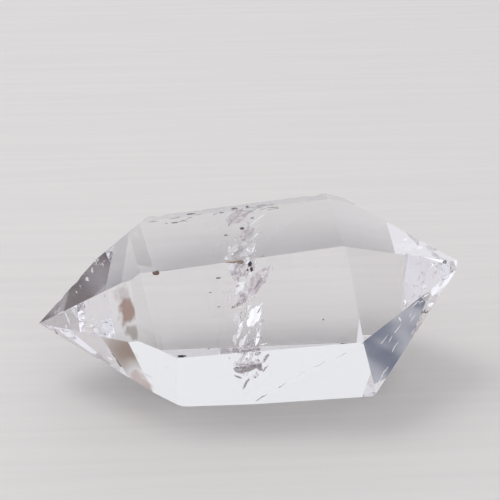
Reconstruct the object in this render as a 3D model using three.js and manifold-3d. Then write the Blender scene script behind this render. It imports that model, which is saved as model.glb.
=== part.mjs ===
// A double terminated quartz point: one clear natural crystal, lying on one of its long faces.
// Millimetres, +Z up. The long axis runs along X, with the broad blunt end at +X and the
// front of the crystal at -Y. The origin is under the middle of its box, on the resting face.
import * as THREE from 'three';
import { ConvexGeometry } from 'three/addons/geometries/ConvexGeometry.js';
import { mergeVertices } from 'three/addons/utils/BufferGeometryUtils.js';
import Module from 'manifold-3d';

// The crystal broadens toward +X and rests on a slanting long face, so its axis climbs that way.
const AXIS_RISE = 4;
// Height of the middle of the axis over the resting face
const AXIS_HEIGHT = 16.7;

// A face is given as a gauge reads it, in degrees and millimetres.
// bearing: which way it looks round the axis; 0 is the front, 90 the top, -90 the bottom
// lean: how far it tips toward the +X end
// reach: distance from the middle of the axis to the face
const LONG_FACES = {
  top: { bearing: 88.5, lean: -3.5, reach: 14.1 },
  upperFront: { bearing: 31.4, lean: -2.5, reach: 16.85 },
  upperFrontEnd: { bearing: 32.4, lean: -7.8, reach: 18.2 },
  lowerFront: { bearing: -30.3, lean: -1.6, reach: 17.6 },
  lowerFrontToe: { bearing: -33.3, lean: 1.3, reach: 18.0 },
  bottom: { bearing: -90, lean: -AXIS_RISE, reach: AXIS_HEIGHT },
  lowerBack: { bearing: -150, lean: -2.8, reach: 18.1 },
  upperBack: { bearing: 149, lean: 0, reach: 18.2 },
};

// The faces of the sharp end all run to one tip, given along, in front of and above the axis.
const SHARP_TIP = { along: -40.5, front: -2.1, above: -1.9 };
const SHARP_END_FACES = {
  sharpTop: { bearing: 86.2, lean: -37.8 },
  sharpUpperFront: { bearing: 30.2, lean: -43.8 },
  sharpLowerFront: { bearing: -32, lean: -37 },
  sharpBottom: { bearing: -84.7, lean: -29.9 },
  sharpLowerBack: { bearing: -145, lean: -32.5 },
  sharpUpperBack: { bearing: 150, lean: -40 },
};

// Smaller faces that break the corners between the long faces and the sharp end
const SHOULDER_FACES = {
  topShoulder: { bearing: 113, lean: -35, reach: 24.8 },
  topSliver: { bearing: 85.2, lean: -31.5, reach: 21.91 },
  lowerShoulder: { bearing: -29.2, lean: -28.4, reach: 22.2 },
  lowerSliver: { bearing: -30.7, lean: -7.6, reach: 18.92 },
};

// The blunt end comes to a short worn edge, not to a point.
const BLUNT_END_FACES = {
  bluntTop: { bearing: 89.3, lean: 26.9, reach: 21.3 },
  bluntTopCorner: { bearing: 90.6, lean: 24.6, reach: 21.0 },
  bluntUpperFront: { bearing: 35.3, lean: 37.2, reach: 25.15 },
  bluntLowerFront: { bearing: -25.1, lean: 44.5, reach: 27.0 },
  bluntBottom: { bearing: -74.1, lean: 51.1, reach: 29.45 },
  bluntLowerBack: { bearing: -137.4, lean: 44, reach: 29.2 },
  bluntUpperBack: { bearing: 149, lean: 36.3, reach: 26.3 },
  wornTip: { bearing: -52.7, lean: 71, reach: 36.65 },
};

// Small shell-shaped chips on the edge between two faces: place along the edge from its
// -X end (0) to its +X end (1), length along the edge, and depth of the bite
const CHIP_SWELL = 1.6;
const CHIPS = [
  { edge: ['top', 'upperBack'], place: 0.07, length: 3.6, depth: 0.3 },
  { edge: ['top', 'upperBack'], place: 0.3, length: 3.0, depth: 0.18 },
  { edge: ['top', 'upperBack'], place: 0.5, length: 4.0, depth: 0.22 },
  { edge: ['top', 'upperBack'], place: 0.93, length: 3.2, depth: 0.35 },
  { edge: ['sharpTop', 'sharpUpperBack'], place: 0.38, length: 2.2, depth: 0.25 },
  { edge: ['sharpTop', 'sharpUpperBack'], place: 0.66, length: 2.6, depth: 0.3 },
  { edge: ['sharpTop', 'sharpUpperFront'], place: 0.27, length: 1.8, depth: 0.2 },
  { edge: ['bluntLowerFront', 'bluntBottom'], place: 0.8, length: 5.0, depth: 0.35 },
  { edge: ['bluntUpperFront', 'bluntLowerFront'], place: 0.86, length: 3.0, depth: 0.2 },
];

const INSIDE_TOLERANCE = 1e-6;
const SAME_POINT = 1e-4;
const PARALLEL = 1e-7;

const QUARTZ = new THREE.MeshStandardMaterial({
  color: 0xe6e6e8,
  roughness: 0.05,
  metalness: 0,
  flatShading: true,
});

const wasm = await Module();
wasm.setup();

// Outward direction of a face, with the axis along X
function faceNormal({ bearing, lean }) {
  const b = THREE.MathUtils.degToRad(bearing);
  const l = THREE.MathUtils.degToRad(lean);
  return new THREE.Vector3(Math.sin(l), -Math.cos(l) * Math.cos(b), Math.cos(l) * Math.sin(b));
}

// Planes of all the faces by name, in the form normal . point = reach
function facePlanes() {
  const tip = new THREE.Vector3(SHARP_TIP.along, -SHARP_TIP.front, SHARP_TIP.above);
  const planes = new Map();
  for (const faces of [LONG_FACES, SHARP_END_FACES, SHOULDER_FACES, BLUNT_END_FACES]) {
    for (const [name, face] of Object.entries(faces)) {
      const normal = faceNormal(face);
      const reach = face.reach ?? normal.dot(tip);
      planes.set(name, { normal, reach });
    }
  }
  return planes;
}

// Point where three planes meet, or null where two of them are parallel
function meetingPoint(p, q, r) {
  const across = new THREE.Vector3().crossVectors(q.normal, r.normal);
  const volume = p.normal.dot(across);
  if (Math.abs(volume) < PARALLEL) {
    return null;
  }
  return across.multiplyScalar(p.reach)
    .addScaledVector(new THREE.Vector3().crossVectors(r.normal, p.normal), q.reach)
    .addScaledVector(new THREE.Vector3().crossVectors(p.normal, q.normal), r.reach)
    .divideScalar(volume);
}

function insideAll(point, planes) {
  return planes.every(({ normal, reach }) => normal.dot(point) <= reach + INSIDE_TOLERANCE);
}

// Corners of the crystal: the meeting points of three faces that no other face cuts off
function crystalCorners(planes) {
  const list = [...planes.values()];
  const corners = [];
  for (let i = 0; i < list.length; i += 1) {
    for (let j = i + 1; j < list.length; j += 1) {
      for (let k = j + 1; k < list.length; k += 1) {
        const point = meetingPoint(list[i], list[j], list[k]);
        const isCorner = point !== null && insideAll(point, list);
        if (isCorner && corners.every((other) => other.distanceTo(point) > SAME_POINT)) {
          corners.push(point);
        }
      }
    }
  }
  return corners;
}

// Closed solid from a geometry, for the cuts
function solidOf(geometry) {
  const bare = geometry.clone();
  bare.deleteAttribute('normal');
  bare.deleteAttribute('uv');
  const merged = mergeVertices(bare, SAME_POINT);
  const vertProperties = Float32Array.from(merged.attributes.position.array);
  const triVerts = Uint32Array.from(merged.index.array);
  return new wasm.Manifold(new wasm.Mesh({ numProp: 3, vertProperties, triVerts }));
}

function geometryOf(solid) {
  const { vertProperties, triVerts } = solid.getMesh();
  const geometry = new THREE.BufferGeometry();
  geometry.setAttribute('position', new THREE.BufferAttribute(vertProperties, 3));
  geometry.setIndex(new THREE.BufferAttribute(triVerts, 1));
  geometry.computeVertexNormals();
  return geometry;
}

// A shell-shaped cutter that bites into the edge between two faces
function chipCutter({ edge, place, length, depth }, planes, corners) {
  const [one, two] = edge.map((name) => planes.get(name));
  const onEdge = corners.filter((point) => [one, two].every(
    ({ normal, reach }) => Math.abs(normal.dot(point) - reach) < SAME_POINT));
  onEdge.sort((p, q) => p.x - q.x);
  const start = onEdge[0];
  const end = onEdge[onEdge.length - 1];
  const along = new THREE.Vector3().subVectors(end, start).normalize();
  const outward = new THREE.Vector3().addVectors(one.normal, two.normal).normalize();
  const across = new THREE.Vector3().crossVectors(outward, along);
  const radius = length / 2;
  const cutter = new THREE.IcosahedronGeometry(1, 1);
  cutter.scale(radius * CHIP_SWELL, radius, radius);
  cutter.applyMatrix4(new THREE.Matrix4().makeBasis(along, across, outward));
  const centre = start.clone().lerp(end, place).addScaledVector(outward, radius - depth);
  cutter.translate(centre.x, centre.y, centre.z);
  return cutter;
}

function quartzPoint() {
  const planes = facePlanes();
  const corners = crystalCorners(planes);
  let solid = solidOf(new ConvexGeometry(corners));
  for (const chip of CHIPS) {
    solid = solid.subtract(solidOf(chipCutter(chip, planes, corners)));
  }
  const geometry = geometryOf(solid);
  geometry.rotateY(-THREE.MathUtils.degToRad(AXIS_RISE));
  geometry.translate(0, 0, AXIS_HEIGHT);
  geometry.computeBoundingBox();
  const middle = geometry.boundingBox.getCenter(new THREE.Vector3());
  geometry.translate(-middle.x, -middle.y, 0);
  const crystal = new THREE.Mesh(geometry, QUARTZ);
  crystal.name = 'quartz_point';
  return crystal;
}

const part = new THREE.Group();
part.add(quartzPoint());

export default part;
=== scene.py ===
import math
import random
from typing import NamedTuple

import bmesh
import bpy
from bpy.props import FloatProperty, FloatVectorProperty, IntProperty, PointerProperty
from bpy.types import Operator, Panel, PropertyGroup
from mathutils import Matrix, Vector, noise


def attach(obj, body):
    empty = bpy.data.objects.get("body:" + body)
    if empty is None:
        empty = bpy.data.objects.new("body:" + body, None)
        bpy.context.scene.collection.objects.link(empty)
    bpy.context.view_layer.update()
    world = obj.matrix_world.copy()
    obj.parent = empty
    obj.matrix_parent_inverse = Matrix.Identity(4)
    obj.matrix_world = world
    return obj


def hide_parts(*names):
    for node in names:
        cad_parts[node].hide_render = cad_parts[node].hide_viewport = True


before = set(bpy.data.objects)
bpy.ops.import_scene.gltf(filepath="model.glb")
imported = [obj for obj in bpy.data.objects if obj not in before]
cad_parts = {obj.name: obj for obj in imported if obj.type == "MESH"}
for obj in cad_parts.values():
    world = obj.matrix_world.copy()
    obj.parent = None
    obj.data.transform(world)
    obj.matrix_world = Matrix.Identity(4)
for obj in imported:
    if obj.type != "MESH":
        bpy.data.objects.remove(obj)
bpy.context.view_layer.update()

bl_info = {
    "name": "Double Terminated Quartz Point",
    "version": (1, 0, 0),
    "blender": (4, 5, 0),
    "location": "View3D > Sidebar > Quartz",
    "description": "Dresses the solid of a quartz point as a clear crystal with cracks and specks",
    "category": "Object",
}

MM = 0.001

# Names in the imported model
CRYSTAL_NODE = "quartz_point"
CRYSTAL_BODY = "root"

# Joining of the solid's triangles into flat faces, and the edges that are worn
WELD = 0.002 * MM
FLAT_ANGLE = math.radians(0.4)
EDGE_ANGLE = math.radians(2)
SHORTEST_WORN_EDGE = 1.0 * MM

# Crack films: thin closed hollows inside the crystal, kept a margin under its larger faces
FILM_SPOKES = 14
FILM_RINGS = (0.42, 0.76)
FILM_MARGIN = 0.25 * MM
LEAST_ROOM = 0.05
FLAT_FACE_AREA = 3.0 * MM * MM

# Walls of the films, as material slots of the crystal after its own
CLEAN_WALL = 1
FROSTED_WALL = 2
HAZY_WALL = 3

# Sight lines inside the crystal, behind the faces that are seen from the front, and how much
# each face squeezes heights that are seen through it
SIGHT = {
    "top": ((0.10, 0.61, -0.79), 0.53),
    "upper front": ((0.06, 0.88, -0.47), 1.0),
    "lower front": ((0.03, 1.0, -0.05), 0.63),
    "blunt top": ((-0.14, 0.59, -0.80), 0.5),
    "blunt upper front": ((-0.16, 0.86, -0.49), 1.0),
    "blunt lower front": ((-0.32, 0.94, -0.15), 1.0),
}

# The leaves that make the shape of the veil and the streaks near the blunt end: which face they
# are seen through, centre in millimetres, facing, their outline as seen (its turn from level in
# degrees, its length and its width in millimetres) and their walls
LEAVES = (
    ("top", (-1.2, 11.2, 25.3), (-0.30, -0.55, 0.78), 20, 5.0, 2.9, HAZY_WALL),
    ("top", (0.8, 11.5, 27.2), (-0.14, -0.99, 0.01), 10, 2.7, 1.1, CLEAN_WALL),
    ("top", (0.4, 3.5, 25.3), (0.15, -0.50, 0.85), 35, 3.6, 2.9, HAZY_WALL),
    ("top", (-2.6, 7.6, 27.0), (-0.35, -0.94, -0.05), 62, 2.4, 0.4, CLEAN_WALL),
    ("top", (2.4, 6.9, 28.0), (0.56, -0.70, 0.43), 40, 3.0, 0.5, CLEAN_WALL),
    ("top", (-2.0, -4.6, 25.6), (0.62, -0.55, 0.56), 14, 5.0, 3.0, CLEAN_WALL),
    ("top", (0.4, -4.3, 25.9), (0.65, -0.44, 0.62), 60, 3.4, 2.0, CLEAN_WALL),
    ("top", (1.6, 0.9, 26.4), (0.56, -0.70, 0.43), 48, 2.4, 0.5, CLEAN_WALL),
    ("top", (5.6, 0.4, 29.0), (0.35, -0.90, 0.25), 52, 4.0, 0.3, CLEAN_WALL),
    ("upper front", (1.3, -9.4, 25.0), (0.10, -0.75, 0.62), 54, 7.0, 3.2, HAZY_WALL),
    ("upper front", (1.9, -9.0, 25.2), (-0.63, -0.69, -0.37), 56, 6.4, 0.7, CLEAN_WALL),
    ("upper front", (-2.6, -8.3, 26.2), (-0.25, -0.86, 0.40), 75, 4.0, 2.0, HAZY_WALL),
    ("upper front", (-4.0, -11.1, 23.2), (-0.87, -0.43, 0.24), -80, 3.6, 0.7, CLEAN_WALL),
    ("upper front", (-2.3, -9.8, 23.7), (0.45, -0.87, -0.19), 62, 3.6, 1.6, CLEAN_WALL),
    ("upper front", (-1.6, -10.1, 21.5), (-0.20, -0.80, 0.55), 50, 3.2, 1.7, HAZY_WALL),
    ("upper front", (-2.9, -10.6, 20.4), (0.18, -0.78, -0.60), 30, 2.7, 0.8, CLEAN_WALL),
    ("upper front", (0.6, -11.8, 19.0), (-0.90, -0.31, 0.32), 58, 5.8, 2.5, CLEAN_WALL),
    ("upper front", (1.0, -12.4, 19.9), (-0.51, -0.73, -0.45), 60, 4.0, 0.3, CLEAN_WALL),
    ("upper front", (-2.4, -13.8, 17.1), (-0.87, -0.43, 0.24), 70, 4.0, 0.9, CLEAN_WALL),
    ("upper front", (-2.0, -15.2, 14.9), (0.55, -0.79, -0.28), 66, 4.0, 1.0, CLEAN_WALL),
    ("upper front", (0.9, -14.8, 16.0), (-0.90, -0.31, 0.32), 75, 3.8, 0.8, CLEAN_WALL),
    ("lower front", (-1.6, -11.8, 11.3), (0.10, -0.67, -0.74), 10, 4.6, 2.9, CLEAN_WALL),
    ("lower front", (-1.4, -12.8, 11.4), (0.20, -0.95, 0.15), 25, 4.4, 2.6, HAZY_WALL),
    ("lower front", (0.7, -12.1, 11.8), (-0.14, -0.97, 0.10), -50, 3.0, 1.6, HAZY_WALL),
    ("lower front", (0.9, -11.4, 11.6), (0.10, -0.67, -0.74), -50, 2.9, 1.5, CLEAN_WALL),
    ("lower front", (2.2, -13.3, 13.8), (-0.27, -0.60, -0.76), 55, 3.0, 0.7, CLEAN_WALL),
    ("lower front", (0.7, -14.2, 15.4), (-0.39, -0.63, -0.67), 30, 2.2, 1.1, CLEAN_WALL),
    ("lower front", (-1.2, -9.0, 6.4), (0.18, -0.78, -0.60), 60, 3.0, 0.7, CLEAN_WALL),
    ("lower front", (-2.8, -10.1, 8.4), (-0.14, -0.69, -0.71), -25, 1.9, 0.5, CLEAN_WALL),
    ("lower front", (2.3, -11.5, 10.9), (-0.14, -0.69, -0.71), 55, 2.2, 0.4, CLEAN_WALL),
    ("lower front", (2.6, -12.1, 3.0), (-0.04, -0.61, -0.79), 33, 5.4, 0.3, CLEAN_WALL),
    ("lower front", (6.3, -14.3, 6.6), (-0.04, -0.61, -0.79), 34, 5.4, 0.3, CLEAN_WALL),
    ("lower front", (9.6, -16.4, 9.9), (-0.04, -0.61, -0.79), 33, 5.4, 0.3, CLEAN_WALL),
    ("lower front", (13.0, -17.8, 12.4), (-0.04, -0.61, -0.79), 28, 5.2, 0.3, CLEAN_WALL),
    ("lower front", (16.6, -19.1, 14.8), (-0.04, -0.61, -0.79), 26, 5.2, 0.25, CLEAN_WALL),
    ("blunt top", (29.4, 4.4, 24.1), (0.91, 0.02, 0.42), 25, 2.6, 0.4, CLEAN_WALL),
    ("blunt top", (32.2, 2.7, 23.5), (-0.67, -0.71, 0.21), 15, 2.2, 0.4, CLEAN_WALL),
    ("blunt upper front", (34.0, -0.5, 22.8), (0.36, -0.75, -0.55), 20, 1.8, 0.7, CLEAN_WALL),
    ("blunt upper front", (31.6, -3.5, 19.4), (0.56, -0.17, 0.81), 35, 2.4, 0.9, CLEAN_WALL),
    ("blunt upper front", (36.2, 0.1, 20.8), (-0.54, -0.84, -0.10), -30, 1.6, 0.4, CLEAN_WALL),
    ("blunt upper front", (29.2, -6.2, 18.9), (0.72, -0.66, -0.23), 35, 3.0, 0.4, CLEAN_WALL),
    ("blunt lower front", (27.0, -11.6, 17.7), (0.93, -0.27, 0.23), -52, 2.0, 0.4, CLEAN_WALL),
    ("blunt lower front", (23.5, -14.4, 14.4), (0.57, -0.32, 0.76), 36, 3.8, 0.35, CLEAN_WALL),
    ("blunt lower front", (26.4, -11.2, 15.1), (0.93, -0.27, 0.23), 38, 3.6, 0.35, CLEAN_WALL),
    ("blunt lower front", (29.9, -7.5, 15.6), (0.93, -0.27, 0.23), 40, 3.0, 0.35, CLEAN_WALL),
    ("blunt lower front", (25.2, -12.0, 13.6), (0.57, -0.32, 0.76), 62, 2.4, 0.35, CLEAN_WALL),
    ("blunt lower front", (26.2, -9.5, 10.2), (0.57, -0.32, 0.76), 72, 2.2, 0.3, CLEAN_WALL),
    ("blunt lower front", (26.8, -9.2, 11.1), (0.57, -0.32, 0.76), 48, 1.8, 0.3, CLEAN_WALL),
    ("blunt lower front", (23.3, -9.9, 3.1), (0.57, -0.32, 0.76), 60, 2.2, 0.3, CLEAN_WALL),
    ("blunt lower front", (23.9, -9.6, 4.0), (0.57, -0.32, 0.76), 55, 2.6, 0.35, CLEAN_WALL),
    ("blunt lower front", (24.4, -9.5, 5.2), (0.57, -0.32, 0.76), 66, 2.4, 0.3, CLEAN_WALL),
    ("blunt lower front", (25.1, -9.0, 5.8), (0.57, -0.32, 0.76), 50, 2.0, 0.3, CLEAN_WALL),
    ("blunt lower front", (30.3, -5.6, 11.8), (0.57, -0.32, 0.76), 58, 2.0, 0.35, CLEAN_WALL),
)

# How far the leaves are hollowed against their length, and rippled against their width
LEAF_CUP = 0.06
LEAF_RIPPLE = 0.012

# The small films scattered in the veil, in millimetres and degrees: the veil's middle, its slant
# toward the back and its half thickness, then the ranges of the films
VEIL_MIDDLE = -0.6
VEIL_SLANT = 0.06
VEIL_THICKNESS = 1.3
VEIL_DEPTH = (-11.0, 11.0)
VEIL_HEIGHT = (8.0, 29.5)
VEIL_TURN = (14.0, 50.0)
VEIL_LENGTH = (0.7, 3.2)
VEIL_SLIMNESS = (0.25, 0.6)

# The small cracks of the blunt tip, in millimetres: the tip along and above, then their ranges.
# They spread to the sides and down with their distance inward.
BLUNT_TIP_ALONG = 38.0
BLUNT_TIP_ABOVE = 21.5
TIP_INWARD = (1.5, 11.0)
TIP_SPREAD = (-0.5, 0.4)
TIP_DROP = (-0.6, 0.2)
TIP_LENGTH = (0.6, 2.4)
TIP_SLIMNESS = (0.1, 0.3)

# Dark hairline cracks under the top face, along its back edge, in millimetres
DASH_FACING = (0.12, -0.98, -0.16)
DASH_TURN = 6.0
DASH_ALONG = (-18.0, 6.0)
DASH_BACK = 11.2
DASH_STRAY = 2.6
DASH_UNDER = (0.6, 1.2)
DASH_LENGTH = (0.9, 3.4)
DASH_WIDTH = (0.16, 0.34)

# Speckles under the upper face of the sharp point: the two edges that bound them, from the tip
SHARP_TIP = Vector((-40.0, 1.7, 12.0)) * MM
SPECKLE_EDGES = (Vector((15.0, -10.6, 13.2)) * MM, Vector((10.6, 5.6, 10.0)) * MM)
SPECKLE_SINK = Vector((-0.3, 0.0, 0.4)) * MM
SPECKLE_SIZE = (0.1, 0.32)

# Grains of iron in and on the crystal: centre and half sizes in millimetres, and their tone
RUST = 0
DARK = 1
TAN = 2
GRAINS = (
    ((-17.5, -10.9, 27.8), (0.6, 0.25, 0.34), RUST),
    ((-3.4, -11.5, 30.0), (1.0, 0.2, 0.3), TAN),
    ((-2.2, -11.5, 29.9), (0.6, 0.2, 0.36), TAN),
    ((-0.5, -11.7, 29.6), (0.35, 0.2, 0.45), DARK),
    ((-0.2, -12.3, 28.7), (0.24, 0.2, 0.4), DARK),
    ((-0.9, -12.1, 28.5), (0.16, 0.14, 0.18), DARK),
    ((-1.0, 2.1, 30.2), (0.38, 0.5, 0.3), DARK),
    ((1.1, 5.8, 30.7), (0.34, 0.22, 0.12), DARK),
    ((-2.0, 11.2, 30.5), (0.6, 0.3, 0.16), RUST),
    ((0.5, 11.0, 30.8), (0.26, 0.4, 0.2), DARK),
    ((-10.4, 11.6, 29.35), (0.8, 0.22, 0.12), DARK),
    ((-4.6, 10.1, 30.2), (0.42, 0.2, 0.12), DARK),
    ((-13.6, 8.7, 28.95), (0.65, 0.2, 0.12), RUST),
    ((-4.2, 0.0, 29.85), (0.3, 0.3, 0.16), RUST),
    ((5.6, 8.6, 31.75), (0.3, 0.3, 0.16), TAN),
    ((6.1, 8.3, 31.75), (0.2, 0.2, 0.1), DARK),
    ((-6.3, -12.6, 27.3), (0.42, 0.1, 0.1), DARK),
    ((-7.8, -13.8, 25.0), (0.2, 0.06, 0.06), DARK),
    ((-6.4, -15.3, 22.8), (0.26, 0.06, 0.05), DARK),
    ((12.6, -16.6, 20.2), (0.15, 0.12, 0.1), RUST),
)

# Painted shade on the faces of the sharp end: brown and pale lilac-grey blotches that stand in for the
# shadowed brown surround seen through these faces. Centre and radius in millimetres
UPPER_FRONT_POINT = (-0.716, -0.624, 0.314)
LOWER_FRONT_POINT = (-0.571, -0.677, -0.464)
PAINTED_SHADE_PATCHES = (
    {"facing": UPPER_FRONT_POINT, "centre": (-23.0, -13.2, 21.2), "radius": 3.4, "blotch": 330,
     "colour": (0.23, 0.11, 0.075)},
    {"facing": UPPER_FRONT_POINT, "centre": (-22.0, -15.8, 18.1), "radius": 2.2, "blotch": 420,
     "colour": (0.30, 0.25, 0.22)},
    {"facing": UPPER_FRONT_POINT, "centre": (-24.0, -10.6, 24.0), "radius": 2.4, "blotch": 420,
     "colour": (0.62, 0.54, 0.56)},
    {"facing": LOWER_FRONT_POINT, "centre": (-22.6, -13.4, 12.6), "radius": 2.2, "blotch": 520,
     "colour": (0.86, 0.82, 0.8)},
    {"facing": LOWER_FRONT_POINT, "centre": (-21.0, -9.6, 5.2), "radius": 3.6, "blotch": 360,
     "colour": (0.55, 0.40, 0.37)},
)

# The quartz: roughness of its dullest patches, and how fine the patches are, per metre
DULLEST_QUARTZ = 0.05
QUARTZ_PATCHES = 160.0

# The walls of the films: how fine their blotches and dull patches are, per metre
WALL_BLOTCHES = 1100.0
WALL_PATCHES = 900.0

# Stage sizes, in metres where not marked
FLOOR_SIDE = 1.6
FLOOR_GAP = 0.05 * MM
FLOOR_GRAIN = (14.0, 420.0, 1.0)
KEY_LIGHT_SIDE = 0.45
KEY_LIGHT_PLACE = (-0.35, 0.16, 0.8)
CAMERA_PLACE = Vector((-20.2, -324.7, 175.2)) * MM
CAMERA_HEADING = math.radians(3.61)
CAMERA_PITCH = math.radians(24.49)
SENSOR_WIDTH = 36.0

# Light paths, long enough to cross the crystal and its films
MAX_BOUNCES = 40
GLOSSY_BOUNCES = 24

# Toned flags of the surround, by where they stand seen from the crystal. Degrees: core is the
# even middle and rim the end of the soft edge. blotch sets how fine its clouds are, and
# evenness how much of the tone is left between them.
FLAGS = (
    {"azimuth": 5, "elevation": 22, "core": 30, "rim": 50, "blotch": 3, "evenness": 1.0,
     "colour": (0.86, 0.87, 0.90)},
    {"azimuth": -92, "elevation": 14, "core": 16, "rim": 40, "blotch": 3, "evenness": 1.0,
     "colour": (1.15, 1.18, 1.25)},
    {"azimuth": -28, "elevation": 3, "core": 5, "rim": 11, "blotch": 55, "evenness": 0.55,
     "colour": (0.08, 0.10, 0.17)},
    {"azimuth": 98, "elevation": 15, "core": 19, "rim": 28, "blotch": 30, "evenness": 0.7,
     "colour": (0.13, 0.095, 0.09)},
    {"azimuth": 92, "elevation": 80, "core": 10, "rim": 20, "blotch": 3, "evenness": 1.0,
     "colour": (0.64, 0.63, 0.65)},
    {"azimuth": 33, "elevation": 19, "core": 3, "rim": 7, "blotch": 42, "evenness": 0.1,
     "colour": (0.26, 0.19, 0.15)},
)


class QuartzBodySettings(PropertyGroup):
    """The clear crystal and its polish"""
    edge_wear: FloatProperty(
        name="Edge wear",
        description="Width of the narrow worn strip along each edge",
        default=0.16 * MM, min=0.0, max=MM, precision=5, subtype="DISTANCE", unit="LENGTH",
    )
    refraction: FloatProperty(
        name="Refraction",
        description="Index of refraction of quartz",
        default=1.544, min=1.0, max=2.0,
    )
    tint: FloatVectorProperty(
        name="Tint",
        description="Colour that deep quartz lets through",
        default=(0.86, 0.84, 0.9), size=3, min=0.0, max=1.0, subtype="COLOR",
    )
    tint_density: FloatProperty(
        name="Tint density",
        description="How fast the tint builds up, per metre",
        default=4.0, min=0.0, max=200.0,
    )


class QuartzFlawSettings(PropertyGroup):
    """The cracks and specks inside the crystal"""
    seed: IntProperty(
        name="Seed",
        description="Another seed scatters the small flaws anew",
        default=7, min=0,
    )
    veil_films: IntProperty(
        name="Veil films",
        description="Number of small crack films scattered in the veil across the middle",
        default=110, min=0, max=500,
    )
    tip_films: IntProperty(
        name="Tip films",
        description="Number of small cracks in the blunt tip",
        default=16, min=0, max=500,
    )
    edge_dashes: IntProperty(
        name="Edge dashes",
        description="Number of hairline cracks along the back edge of the top face",
        default=26, min=0, max=200,
    )
    speckles: IntProperty(
        name="Speckles",
        description="Number of pale speckles in the sharp point",
        default=46, min=0, max=500,
    )
    rust: FloatVectorProperty(
        name="Rust",
        description="Colour of the rusty grains of iron",
        default=(0.3, 0.17, 0.11), size=3, min=0.0, max=1.0, subtype="COLOR",
    )
    dark_iron: FloatVectorProperty(
        name="Dark iron",
        description="Colour of the dark grains of iron",
        default=(0.06, 0.055, 0.055), size=3, min=0.0, max=1.0, subtype="COLOR",
    )
    tan_iron: FloatVectorProperty(
        name="Tan iron",
        description="Colour of the pale tan grains of iron",
        default=(0.6, 0.5, 0.43), size=3, min=0.0, max=1.0, subtype="COLOR",
    )
    haze: FloatVectorProperty(
        name="Haze",
        description="Colour that the hazy cracks of the veil let through",
        default=(0.66, 0.57, 0.63), size=3, min=0.0, max=1.0, subtype="COLOR",
    )


class QuartzStageSettings(PropertyGroup):
    """The floor, the light and the camera"""
    floor_colour: FloatVectorProperty(
        name="Floor",
        description="Pale paint of the floor",
        default=(0.72, 0.7, 0.68), size=3, min=0.0, max=1.0, subtype="COLOR",
    )
    surround_colour: FloatVectorProperty(
        name="Surround",
        description="White walls and ceiling of the studio",
        default=(0.8, 0.79, 0.82), size=3, min=0.0, max=1.0, subtype="COLOR",
    )
    key_power: FloatProperty(
        name="Key light",
        description="Power of the soft light overhead on the left",
        default=1.6, min=0.0, max=500.0, subtype="POWER", unit="POWER",
    )
    lens: FloatProperty(
        name="Lens",
        description="Focal length on a 36 mm wide sensor",
        default=136.8, min=10.0, max=400.0, subtype="DISTANCE_CAMERA",
    )


def new_piece(name, bm):
    """Object from a bmesh, linked to the scene"""
    mesh = bpy.data.meshes.new(name)
    bm.to_mesh(mesh)
    bm.free()
    piece = bpy.data.objects.new(name, mesh)
    bpy.context.scene.collection.objects.link(piece)
    return piece


def new_material(name):
    """Material with its node tree, its Principled shader and its output"""
    material = bpy.data.materials.new(name)
    material.use_nodes = True
    nodes = material.node_tree.nodes
    return material, nodes, material.node_tree.links, nodes["Principled BSDF"]


def painted_shade_group():
    """Mask of a blotched patch of painted shade on one flat face, round a centre"""
    group = bpy.data.node_groups.new("face painted shade", "ShaderNodeTree")
    sockets = group.interface
    sockets.new_socket("Facing", in_out="INPUT", socket_type="NodeSocketVector")
    sockets.new_socket("Centre", in_out="INPUT", socket_type="NodeSocketVector")
    sockets.new_socket("Radius", in_out="INPUT", socket_type="NodeSocketFloat")
    sockets.new_socket("Blotch Scale", in_out="INPUT", socket_type="NodeSocketFloat")
    sockets.new_socket("Mask", in_out="OUTPUT", socket_type="NodeSocketFloat")
    nodes = group.nodes
    links = group.links
    given = nodes.new("NodeGroupInput")
    result = nodes.new("NodeGroupOutput")
    place = nodes.new("ShaderNodeTexCoord")
    facing = nodes.new("ShaderNodeVectorMath")
    facing.operation = "DOT_PRODUCT"
    links.new(place.outputs["Normal"], facing.inputs[0])
    links.new(given.outputs["Facing"], facing.inputs[1])
    on_face = nodes.new("ShaderNodeMapRange")
    on_face.inputs["From Min"].default_value = 0.97
    on_face.inputs["From Max"].default_value = 0.99
    links.new(facing.outputs["Value"], on_face.inputs["Value"])
    away = nodes.new("ShaderNodeVectorMath")
    away.operation = "DISTANCE"
    links.new(place.outputs["Object"], away.inputs[0])
    links.new(given.outputs["Centre"], away.inputs[1])
    share = nodes.new("ShaderNodeMath")
    share.operation = "DIVIDE"
    links.new(away.outputs["Value"], share.inputs[0])
    links.new(given.outputs["Radius"], share.inputs[1])
    cloud = nodes.new("ShaderNodeTexNoise")
    cloud.inputs["Detail"].default_value = 3.0
    links.new(place.outputs["Object"], cloud.inputs["Vector"])
    links.new(given.outputs["Blotch Scale"], cloud.inputs["Scale"])
    ragged = nodes.new("ShaderNodeMath")
    ragged.operation = "MULTIPLY_ADD"
    ragged.inputs[1].default_value = -2.2
    links.new(cloud.outputs["Fac"], ragged.inputs[0])
    links.new(share.outputs["Value"], ragged.inputs[2])
    near = nodes.new("ShaderNodeMapRange")
    near.interpolation_type = "SMOOTHSTEP"
    near.inputs["From Min"].default_value = -0.1
    near.inputs["From Max"].default_value = -0.75
    links.new(ragged.outputs["Value"], near.inputs["Value"])
    mask = nodes.new("ShaderNodeMath")
    mask.operation = "MULTIPLY"
    links.new(on_face.outputs["Result"], mask.inputs[0])
    links.new(near.outputs["Result"], mask.inputs[1])
    links.new(mask.outputs["Value"], result.inputs["Mask"])
    return group


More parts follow.
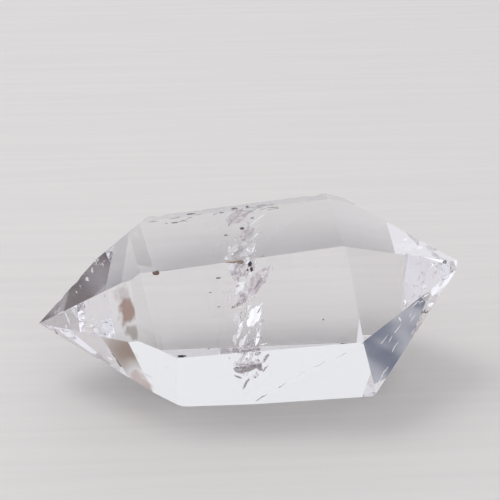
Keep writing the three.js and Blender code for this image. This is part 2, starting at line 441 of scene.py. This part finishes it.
def polish_group():
    """Roughness of a natural polish: mostly clean, with dull patches"""
    group = bpy.data.node_groups.new("worn polish", "ShaderNodeTree")
    sockets = group.interface
    sockets.new_socket("Cleanest", in_out="INPUT", socket_type="NodeSocketFloat")
    sockets.new_socket("Dullest", in_out="INPUT", socket_type="NodeSocketFloat")
    sockets.new_socket("Patch Scale", in_out="INPUT", socket_type="NodeSocketFloat")
    sockets.new_socket("Roughness", in_out="OUTPUT", socket_type="NodeSocketFloat")
    nodes = group.nodes
    links = group.links
    given = nodes.new("NodeGroupInput")
    result = nodes.new("NodeGroupOutput")
    place = nodes.new("ShaderNodeTexCoord")
    patches = nodes.new("ShaderNodeTexNoise")
    patches.inputs["Detail"].default_value = 6.0
    patches.inputs["Distortion"].default_value = 1.5
    links.new(place.outputs["Object"], patches.inputs["Vector"])
    links.new(given.outputs["Patch Scale"], patches.inputs["Scale"])
    worn = nodes.new("ShaderNodeMapRange")
    worn.interpolation_type = "SMOOTHSTEP"
    worn.inputs["From Min"].default_value = 0.5
    worn.inputs["From Max"].default_value = 0.75
    links.new(patches.outputs["Fac"], worn.inputs["Value"])
    links.new(given.outputs["Cleanest"], worn.inputs["To Min"])
    links.new(given.outputs["Dullest"], worn.inputs["To Max"])
    links.new(worn.outputs["Result"], result.inputs["Roughness"])
    return group


def add_polish(nodes, links, shader, group, cleanest, dullest, patch_scale):
    """Feed a shader's roughness from the polish group"""
    polish = nodes.new("ShaderNodeGroup")
    polish.node_tree = group
    polish.inputs["Cleanest"].default_value = cleanest
    polish.inputs["Dullest"].default_value = dullest
    polish.inputs["Patch Scale"].default_value = patch_scale
    links.new(polish.outputs["Roughness"], shader.inputs["Roughness"])


def quartz_material(settings, polish):
    """Clear quartz: plain transmission with a faint tint, with painted shade on a few faces of the sharp
    end that stands in for the shadowed surround seen through them
    """
    material, nodes, links, shader = new_material("clear quartz")
    group = painted_shade_group()
    colour = None
    # Each patch mixes a painted shade colour into the base colour; it stands in for the shadowed brown
    # surround seen through the face
    for shade_patch in PAINTED_SHADE_PATCHES:
        painted_shade_node = nodes.new("ShaderNodeGroup")
        painted_shade_node.node_tree = group
        painted_shade_node.inputs["Facing"].default_value = shade_patch["facing"]
        painted_shade_node.inputs["Centre"].default_value = Vector(shade_patch["centre"]) * MM
        painted_shade_node.inputs["Radius"].default_value = shade_patch["radius"] * MM
        painted_shade_node.inputs["Blotch Scale"].default_value = shade_patch["blotch"]
        mix = nodes.new("ShaderNodeMix")
        mix.data_type = "RGBA"
        links.new(painted_shade_node.outputs["Mask"], mix.inputs["Factor"])
        mix.inputs["A"].default_value = (1.0, 1.0, 1.0, 1.0)
        if colour:
            links.new(colour, mix.inputs["A"])
        mix.inputs["B"].default_value = (*shade_patch["colour"], 1.0)
        colour = mix.outputs["Result"]
    links.new(colour, shader.inputs["Base Color"])
    add_polish(nodes, links, shader, polish, 0.0, DULLEST_QUARTZ, QUARTZ_PATCHES)
    shader.inputs["Transmission Weight"].default_value = 1.0
    shader.inputs["IOR"].default_value = settings.refraction
    depth = nodes.new("ShaderNodeVolumeAbsorption")
    depth.inputs["Color"].default_value = (*settings.tint, 1.0)
    depth.inputs["Density"].default_value = settings.tint_density
    links.new(depth.outputs["Volume"], nodes["Material Output"].inputs["Volume"])
    return material


def film_material(settings, name, colour, polish, cleanest, dullest):
    """Walls of the crack films: the same quartz with a broken polish, blotched in tone"""
    material, nodes, links, shader = new_material(name)
    place = nodes.new("ShaderNodeTexCoord")
    blotches = nodes.new("ShaderNodeTexNoise")
    blotches.inputs["Scale"].default_value = WALL_BLOTCHES
    blotches.inputs["Detail"].default_value = 3.0
    links.new(place.outputs["Object"], blotches.inputs["Vector"])
    clear = nodes.new("ShaderNodeMapRange")
    clear.inputs["From Min"].default_value = 0.35
    clear.inputs["From Max"].default_value = 0.72
    links.new(blotches.outputs["Fac"], clear.inputs["Value"])
    tone = nodes.new("ShaderNodeMix")
    tone.data_type = "RGBA"
    tone.inputs["A"].default_value = (*colour, 1.0)
    tone.inputs["B"].default_value = (1.0, 1.0, 1.0, 1.0)
    links.new(clear.outputs["Result"], tone.inputs["Factor"])
    links.new(tone.outputs["Result"], shader.inputs["Base Color"])
    add_polish(nodes, links, shader, polish, cleanest, dullest, WALL_PATCHES)
    shader.inputs["Transmission Weight"].default_value = 1.0
    shader.inputs["IOR"].default_value = settings.refraction
    return material


def crystal_body(bm, settings):
    """The solid's own faces, joined where they are flat, with worn edges"""
    bm.from_mesh(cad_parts[CRYSTAL_NODE].data)
    bmesh.ops.remove_doubles(bm, verts=bm.verts, dist=WELD)
    bmesh.ops.dissolve_limit(bm, angle_limit=FLAT_ANGLE, verts=bm.verts, edges=bm.edges)
    worn = [e for e in bm.edges
            if e.calc_face_angle(0.0) > EDGE_ANGLE and e.calc_length() > SHORTEST_WORN_EDGE]
    bmesh.ops.bevel(bm, geom=worn, offset=settings.edge_wear, offset_type="WIDTH", segments=2,
                    profile=0.5, affect="EDGES", clamp_overlap=True)


def facet_planes():
    """Outward normal and offset of each flat face of the solid"""
    bm = bmesh.new()
    bm.from_mesh(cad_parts[CRYSTAL_NODE].data)
    bmesh.ops.remove_doubles(bm, verts=bm.verts, dist=WELD)
    bmesh.ops.dissolve_limit(bm, angle_limit=FLAT_ANGLE, verts=bm.verts, edges=bm.edges)
    planes = [(f.normal.copy(), f.normal.dot(f.verts[0].co))
              for f in bm.faces if f.calc_area() > FLAT_FACE_AREA]
    bm.free()
    return planes


def room_inside(planes, start, step):
    """Share of a step, up to the whole of it, that keeps the margin under every face"""
    share = 1.0
    for normal, offset in planes:
        rise = normal.dot(step)
        if rise > 0.0:
            share = min(share, (offset - FILM_MARGIN - normal.dot(start)) / rise)
    return max(share, LEAST_ROOM)


class Film(NamedTuple):
    """A crack film: along and across are its half sizes, cup and ripple bend it"""
    centre: Vector
    facing: Vector
    along: Vector
    across: Vector
    gape: float
    cup: float
    ripple: float
    ragged: float
    wall: int = CLEAN_WALL


def square_film(centre, facing, along, length, width, **bend):
    """Film of a length and a width in its own plane, run along a direction"""
    facing = facing.normalized()
    along = (along - facing * along.dot(facing)).normalized()
    across = facing.cross(along)
    return Film(centre, facing, along * length / 2, across * width / 2, **bend)


def seen_film(behind, centre, facing, turn, length, width, **bend):
    """Film whose outline is as it is seen through one of the front faces"""
    sight, squeeze = SIGHT[behind]
    sight = Vector(sight).normalized()
    facing = Vector(facing).normalized()
    level = sight.cross(Vector((0.0, 0.0, 1.0))).normalized()
    rise = level.cross(sight) / squeeze
    turn = math.radians(turn)
    seen_along = level * math.cos(turn) + rise * math.sin(turn)
    seen_across = rise * math.cos(turn) - level * math.sin(turn)

    def in_film(step):
        return step - sight * (step.dot(facing) / sight.dot(facing))

    return Film(Vector(centre) * MM, facing, in_film(seen_along) * length * MM / 2,
                in_film(seen_across) * width * MM / 2, **bend)


def add_film(bm, planes, rng, film):
    """One crack film: a thin hollow with a ragged rim, whose faces look into the hollow"""
    gape = film.gape / 2
    spokes = []
    for i in range(FILM_SPOKES):
        turn = math.tau * (i + rng.uniform(-0.3, 0.3)) / FILM_SPOKES
        reach = film.along * math.cos(turn) + film.across * math.sin(turn)
        reach *= rng.uniform(1.0 - film.ragged, 1.0)
        spokes.append(reach * room_inside(planes, film.centre, reach))

    def bent(reach):
        return film.centre + reach + film.facing * film.cup * (reach.length / film.along.length) ** 2

    rim = [bm.verts.new(bent(reach)) for reach in spokes]
    ripples = [[rng.uniform(-1.0, 1.0) * film.ripple for _ in spokes] for _ in FILM_RINGS]
    for side in (1.0, -1.0):
        middle = bm.verts.new(film.centre + film.facing * gape * side)
        inner = [middle] * FILM_SPOKES
        for share, ripple in zip(FILM_RINGS, ripples):
            swell = gape * side * (1.0 - share * share)
            inner = add_film_ring(bm, inner, [
                bm.verts.new(bent(reach * share) + film.facing * (swell + lift))
                for reach, lift in zip(spokes, ripple)], side, film.wall)
        add_film_ring(bm, inner, rim, side, film.wall)
    for i, vert in enumerate(rim):
        bm.edges.get((vert, rim[i - 1])).smooth = False


def add_film_ring(bm, inner, outer, side, wall):
    """Faces between two rings of one side of a film"""
    for i in range(len(outer)):
        j = (i + 1) % len(outer)
        corners = [inner[i], outer[i], outer[j], inner[j]]
        if inner[i] is inner[j]:
            corners.pop()
        if side > 0:
            corners.reverse()
        face = bm.faces.new(corners)
        face.smooth = True
        face.material_index = wall
    return outer


def leaf_films(rng):
    """The veil's own leaves and the streaks near the blunt end"""
    films = []
    for behind, centre, facing, turn, length, width, wall in LEAVES:
        films.append(seen_film(
            behind, centre, facing, turn, length, width,
            gape=0.04 * MM,
            cup=rng.uniform(-LEAF_CUP, LEAF_CUP) * length * MM,
            ripple=LEAF_RIPPLE * width * MM,
            ragged=0.35,
            wall=wall,
        ))
    return films


def veil_films(rng, settings):
    """Small crack films round the veil's leaves, across the middle of the crystal"""
    films = []
    for _ in range(settings.veil_films):
        depth = rng.uniform(*VEIL_DEPTH)
        height = rng.uniform(*VEIL_HEIGHT)
        length = rng.uniform(*VEIL_LENGTH)
        turn = math.radians(rng.uniform(*VEIL_TURN)) * rng.choice((-1.0, 1.0))
        along = VEIL_MIDDLE + VEIL_SLANT * depth + rng.gauss(0.0, VEIL_THICKNESS)
        films.append(square_film(
            Vector((along, depth, height)) * MM,
            Vector((math.cos(turn), math.sin(turn), rng.gauss(0.0, 0.25))),
            Vector((rng.gauss(0.3, 0.2), rng.gauss(0.0, 0.4), 1.0)),
            length * MM,
            length * rng.uniform(*VEIL_SLIMNESS) * MM,
            gape=rng.uniform(0.02, 0.05) * MM,
            cup=rng.uniform(-0.3, 0.3) * MM,
            ripple=0.03 * MM,
            ragged=0.5,
        ))
    return films


def tip_films(rng, settings):
    """Small bright cracks that cloud the blunt tip"""
    films = []
    for _ in range(settings.tip_films):
        inward = rng.uniform(*TIP_INWARD)
        length = rng.uniform(*TIP_LENGTH)
        films.append(square_film(
            Vector((BLUNT_TIP_ALONG - inward, rng.uniform(*TIP_SPREAD) * inward,
                    BLUNT_TIP_ABOVE + rng.uniform(*TIP_DROP) * inward)) * MM,
            Vector((rng.gauss(0.3, 0.5), rng.gauss(-0.6, 0.5), rng.gauss(0.4, 0.5))),
            Vector((rng.gauss(0.6, 0.3), rng.gauss(0.0, 0.4), rng.gauss(0.5, 0.3))),
            length * MM,
            length * rng.uniform(*TIP_SLIMNESS) * MM,
            gape=rng.uniform(0.02, 0.05) * MM,
            cup=rng.uniform(-0.2, 0.2) * MM,
            ripple=0.02 * MM,
            ragged=0.5,
        ))
    return films


def dash_films(rng, planes, settings):
    """Hairline cracks just under the top face, along its back edge"""
    normal, offset = max(planes, key=lambda plane: plane[0].z)
    films = []
    for _ in range(settings.edge_dashes):
        x = rng.uniform(*DASH_ALONG)
        y = DASH_BACK - DASH_STRAY * rng.random() ** 1.5
        under = offset / MM - rng.uniform(*DASH_UNDER)
        films.append(seen_film(
            "top",
            (x, y, (under - normal.x * x - normal.y * y) / normal.z),
            DASH_FACING,
            rng.gauss(DASH_TURN, 5.0),
            rng.uniform(*DASH_LENGTH),
            rng.uniform(*DASH_WIDTH),
            gape=0.03 * MM,
            cup=rng.uniform(-0.05, 0.05) * MM,
            ripple=0.01 * MM,
            ragged=0.6,
        ))
    return films


def speckle_films(rng, settings):
    """Pale speckles close under the upper face of the sharp point, thickest toward its tip"""
    front, back = SPECKLE_EDGES
    films = []
    for _ in range(settings.speckles):
        along = rng.uniform(0.1, 1.0) ** 1.3
        share = rng.uniform(0.12, 0.8)
        size = rng.uniform(*SPECKLE_SIZE) * MM
        films.append(square_film(
            SHARP_TIP + (front * share + back * (1.0 - share)) * along - SPECKLE_SINK,
            Vector((rng.gauss(0.0, 1.0), rng.gauss(0.0, 1.0), rng.gauss(0.0, 1.0))),
            Vector((rng.gauss(0.0, 1.0), rng.gauss(0.0, 1.0), rng.gauss(0.0, 1.0))),
            size,
            size * rng.uniform(0.4, 0.9),
            gape=0.04 * MM,
            cup=0.0,
            ripple=0.01 * MM,
            ragged=0.4,
            wall=FROSTED_WALL,
        ))
    return films


class QUARTZ_OT_crystal(Operator):
    """Make the clear crystal from its solid, with the cracks inside it"""
    bl_idname = "quartz.crystal"
    bl_label = "Crystal"

    def execute(self, context):
        settings = context.scene.quartz_body
        flaws = context.scene.quartz_flaws
        bm = bmesh.new()
        crystal_body(bm, settings)
        planes = facet_planes()
        rng = random.Random(flaws.seed)
        films = leaf_films(rng) + veil_films(rng, flaws) + tip_films(rng, flaws)
        films += dash_films(rng, planes, flaws) + speckle_films(rng, flaws)
        for film in films:
            add_film(bm, planes, rng, film)
        crystal = new_piece("quartz_crystal", bm)
        polish = polish_group()
        crystal.data.materials.append(quartz_material(settings, polish))
        for name, colour, cleanest, dullest in (
                ("crack film walls", (0.96, 0.93, 0.95), 0.03, 0.2),
                ("frosted crack walls", (0.9, 0.9, 0.92), 0.4, 0.6),
                ("hazy crack walls", flaws.haze, 0.1, 0.4)):
            crystal.data.materials.append(
                film_material(settings, name, colour, polish, cleanest, dullest))
        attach(crystal, CRYSTAL_BODY)
        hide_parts(CRYSTAL_NODE)
        return {"FINISHED"}


def grain_material(name, colour):
    """Iron ore: matt, with darker and paler crumbs"""
    material, nodes, links, shader = new_material(name)
    place = nodes.new("ShaderNodeTexCoord")
    crumbs = nodes.new("ShaderNodeTexNoise")
    crumbs.inputs["Scale"].default_value = 3200.0
    crumbs.inputs["Detail"].default_value = 3.0
    links.new(place.outputs["Object"], crumbs.inputs["Vector"])
    tone = nodes.new("ShaderNodeMix")
    tone.data_type = "RGBA"
    tone.inputs["A"].default_value = (*(0.45 * c for c in colour), 1.0)
    tone.inputs["B"].default_value = (*(1.6 * c for c in colour), 1.0)
    links.new(crumbs.outputs["Fac"], tone.inputs["Factor"])
    links.new(tone.outputs["Result"], shader.inputs["Base Color"])
    shader.inputs["Roughness"].default_value = 0.8
    return material


def add_grain(bm, rng, centre, half_sizes, tone):
    """One lumpy grain"""
    made = bmesh.ops.create_icosphere(bm, subdivisions=3, radius=1.0)
    shift = Vector((rng.uniform(0, 50), rng.uniform(0, 50), rng.uniform(0, 50)))
    for vert in made["verts"]:
        lump = 1.0 + 0.7 * noise.noise(vert.co * 1.4 + shift) + 0.35 * noise.noise(vert.co * 3.5 + shift)
        vert.co = (Vector(centre) + Vector(half_sizes) * vert.co * lump) * MM
    for face in {face for vert in made["verts"] for face in vert.link_faces}:
        face.material_index = tone
        face.smooth = True


class QUARTZ_OT_grains(Operator):
    """Make the grains of iron in and on the crystal"""
    bl_idname = "quartz.grains"
    bl_label = "Iron Grains"

    def execute(self, context):
        flaws = context.scene.quartz_flaws
        rng = random.Random(flaws.seed)
        bm = bmesh.new()
        for centre, half_sizes, tone in GRAINS:
            add_grain(bm, rng, centre, half_sizes, tone)
        grains = new_piece("iron_grains", bm)
        grains.data.materials.append(grain_material("rusty iron", flaws.rust))
        grains.data.materials.append(grain_material("dark iron", flaws.dark_iron))
        grains.data.materials.append(grain_material("tan iron", flaws.tan_iron))
        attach(grains, CRYSTAL_BODY)
        return {"FINISHED"}


def floor_material(settings):
    """Pale paint with a faint brushed grain"""
    material, nodes, links, shader = new_material("pale floor paint")
    place = nodes.new("ShaderNodeTexCoord")
    stretch = nodes.new("ShaderNodeMapping")
    stretch.inputs["Scale"].default_value = FLOOR_GRAIN
    links.new(place.outputs["Object"], stretch.inputs["Vector"])
    grain = nodes.new("ShaderNodeTexNoise")
    grain.inputs["Scale"].default_value = 1.0
    grain.inputs["Detail"].default_value = 5.0
    links.new(stretch.outputs["Vector"], grain.inputs["Vector"])
    tone = nodes.new("ShaderNodeMix")
    tone.data_type = "RGBA"
    tone.inputs["A"].default_value = (*(0.94 * c for c in settings.floor_colour), 1.0)
    tone.inputs["B"].default_value = (*(1.06 * c for c in settings.floor_colour), 1.0)
    links.new(grain.outputs["Fac"], tone.inputs["Factor"])
    links.new(tone.outputs["Result"], shader.inputs["Base Color"])
    relief = nodes.new("ShaderNodeBump")
    relief.inputs["Strength"].default_value = 0.25
    relief.inputs["Distance"].default_value = 0.2 * MM
    links.new(grain.outputs["Fac"], relief.inputs["Height"])
    links.new(relief.outputs["Normal"], shader.inputs["Normal"])
    shader.inputs["Roughness"].default_value = 0.55
    return material


def make_floor(settings):
    """The pale floor, a hair under the crystal"""
    bm = bmesh.new()
    bmesh.ops.create_grid(bm, x_segments=8, y_segments=8, size=FLOOR_SIDE / 2)
    floor = new_piece("floor", bm)
    floor.location.z = -FLOOR_GAP
    floor.data.materials.append(floor_material(settings))


def flag_group():
    """Mask of a soft-edged patch of the surround, blotched inside"""
    group = bpy.data.node_groups.new("soft flag", "ShaderNodeTree")
    sockets = group.interface
    sockets.new_socket("Direction", in_out="INPUT", socket_type="NodeSocketVector")
    sockets.new_socket("Towards", in_out="INPUT", socket_type="NodeSocketVector")
    for name in ("Outer Cosine", "Inner Cosine", "Blotch Scale", "Blotch Floor"):
        sockets.new_socket(name, in_out="INPUT", socket_type="NodeSocketFloat")
    sockets.new_socket("Mask", in_out="OUTPUT", socket_type="NodeSocketFloat")
    nodes = group.nodes
    links = group.links
    given = nodes.new("NodeGroupInput")
    result = nodes.new("NodeGroupOutput")
    facing = nodes.new("ShaderNodeVectorMath")
    facing.operation = "DOT_PRODUCT"
    links.new(given.outputs["Direction"], facing.inputs[0])
    links.new(given.outputs["Towards"], facing.inputs[1])
    edge = nodes.new("ShaderNodeMapRange")
    edge.interpolation_type = "SMOOTHSTEP"
    links.new(facing.outputs["Value"], edge.inputs["Value"])
    links.new(given.outputs["Outer Cosine"], edge.inputs["From Min"])
    links.new(given.outputs["Inner Cosine"], edge.inputs["From Max"])
    cloud = nodes.new("ShaderNodeTexNoise")
    cloud.inputs["Detail"].default_value = 1.5
    links.new(given.outputs["Direction"], cloud.inputs["Vector"])
    links.new(given.outputs["Blotch Scale"], cloud.inputs["Scale"])
    blotch = nodes.new("ShaderNodeMapRange")
    blotch.interpolation_type = "SMOOTHSTEP"
    blotch.inputs["From Min"].default_value = 0.36
    blotch.inputs["From Max"].default_value = 0.6
    links.new(cloud.outputs["Fac"], blotch.inputs["Value"])
    links.new(given.outputs["Blotch Floor"], blotch.inputs["To Min"])
    mask = nodes.new("ShaderNodeMath")
    mask.operation = "MULTIPLY"
    links.new(edge.outputs["Result"], mask.inputs[0])
    links.new(blotch.outputs["Result"], mask.inputs[1])
    links.new(mask.outputs["Value"], result.inputs["Mask"])
    return group


def toward(azimuth, elevation):
    """Direction from the crystal; azimuth 0 is +Y, which is behind it, and +90 is +X"""
    a = math.radians(azimuth)
    e = math.radians(elevation)
    return Vector((math.sin(a) * math.cos(e), math.cos(a) * math.cos(e), math.sin(e)))


def make_surround(settings):
    """White studio with a few toned flags, which only the crystal mirrors and bends"""
    world = bpy.data.worlds.new("white studio")
    world.use_nodes = True
    nodes = world.node_tree.nodes
    links = world.node_tree.links
    group = flag_group()
    direction = nodes.new("ShaderNodeTexCoord").outputs["Generated"]
    colour = None
    for flag in FLAGS:
        patch = nodes.new("ShaderNodeGroup")
        patch.node_tree = group
        links.new(direction, patch.inputs["Direction"])
        patch.inputs["Towards"].default_value = toward(flag["azimuth"], flag["elevation"])
        patch.inputs["Inner Cosine"].default_value = math.cos(math.radians(flag["core"]))
        patch.inputs["Outer Cosine"].default_value = math.cos(math.radians(flag["rim"]))
        patch.inputs["Blotch Scale"].default_value = flag["blotch"]
        patch.inputs["Blotch Floor"].default_value = flag["evenness"]
        mix = nodes.new("ShaderNodeMix")
        mix.data_type = "RGBA"
        links.new(patch.outputs["Mask"], mix.inputs["Factor"])
        mix.inputs["A"].default_value = (*settings.surround_colour, 1.0)
        if colour:
            links.new(colour, mix.inputs["A"])
        mix.inputs["B"].default_value = (*flag["colour"], 1.0)
        colour = mix.outputs["Result"]
    toned = nodes["Background"]
    links.new(colour, toned.inputs["Color"])
    plain = nodes.new("ShaderNodeBackground")
    plain.inputs["Color"].default_value = (*settings.surround_colour, 1.0)
    path = nodes.new("ShaderNodeLightPath")
    seen = nodes.new("ShaderNodeMixShader")
    links.new(path.outputs["Is Camera Ray"], seen.inputs["Fac"])
    links.new(toned.outputs["Background"], seen.inputs[1])
    links.new(plain.outputs["Background"], seen.inputs[2])
    links.new(seen.outputs["Shader"], nodes["World Output"].inputs["Surface"])
    bpy.context.scene.world = world


def make_key_light(settings):
    """A soft light over the floor, which the crystal doesn't mirror"""
    light = bpy.data.lights.new("key light", "AREA")
    light.size = KEY_LIGHT_SIDE
    light.energy = settings.key_power
    lamp = bpy.data.objects.new("key_light", light)
    lamp.location = KEY_LIGHT_PLACE
    lamp.rotation_mode = "QUATERNION"
    lamp.rotation_quaternion = lamp.location.to_track_quat("Z", "Y")
    lamp.visible_camera = False
    lamp.visible_glossy = False
    lamp.visible_transmission = False
    bpy.context.scene.collection.objects.link(lamp)


def make_camera(settings):
    """The camera, in front of the crystal and above it"""
    view = bpy.data.cameras.new("camera")
    view.sensor_width = SENSOR_WIDTH
    view.lens = settings.lens
    view.clip_start = 0.01
    camera = bpy.data.objects.new("camera", view)
    camera.location = CAMERA_PLACE
    camera.rotation_euler = (math.pi / 2 - CAMERA_PITCH, 0.0, -CAMERA_HEADING)
    bpy.context.scene.collection.objects.link(camera)
    bpy.context.scene.camera = camera


class QUARTZ_OT_stage(Operator):
    """Set the floor, the light and the camera"""
    bl_idname = "quartz.stage"
    bl_label = "Stage"

    def execute(self, context):
        settings = context.scene.quartz_stage
        make_floor(settings)
        make_surround(settings)
        make_key_light(settings)
        make_camera(settings)
        context.scene.view_settings.view_transform = "Standard"
        context.scene.cycles.max_bounces = MAX_BOUNCES
        context.scene.cycles.glossy_bounces = GLOSSY_BOUNCES
        context.scene.cycles.transmission_bounces = MAX_BOUNCES
        return {"FINISHED"}


class QUARTZ_PT_panel(Panel):
    """Lists the steps that make the quartz point"""
    bl_label = "Quartz Point"
    bl_idname = "QUARTZ_PT_panel"
    bl_space_type = "VIEW_3D"
    bl_region_type = "UI"
    bl_category = "Quartz"

    def draw(self, context):
        for operator, settings in ((QUARTZ_OT_crystal, context.scene.quartz_body),
                                   (QUARTZ_OT_grains, context.scene.quartz_flaws),
                                   (QUARTZ_OT_stage, context.scene.quartz_stage)):
            box = self.layout.box()
            for name in settings.__annotations__:
                box.prop(settings, name)
            box.operator(operator.bl_idname)


CLASSES = (
    QuartzBodySettings,
    QuartzFlawSettings,
    QuartzStageSettings,
    QUARTZ_OT_crystal,
    QUARTZ_OT_grains,
    QUARTZ_OT_stage,
    QUARTZ_PT_panel,
)


def register():
    for cls in CLASSES:
        bpy.utils.register_class(cls)
    bpy.types.Scene.quartz_body = PointerProperty(type=QuartzBodySettings)
    bpy.types.Scene.quartz_flaws = PointerProperty(type=QuartzFlawSettings)
    bpy.types.Scene.quartz_stage = PointerProperty(type=QuartzStageSettings)


def unregister():
    del bpy.types.Scene.quartz_stage
    del bpy.types.Scene.quartz_flaws
    del bpy.types.Scene.quartz_body
    for cls in reversed(CLASSES):
        bpy.utils.unregister_class(cls)


def main():
    register()
    bpy.ops.quartz.crystal()
    bpy.ops.quartz.grains()
    bpy.ops.quartz.stage()


if __name__ == "__main__":
    main()
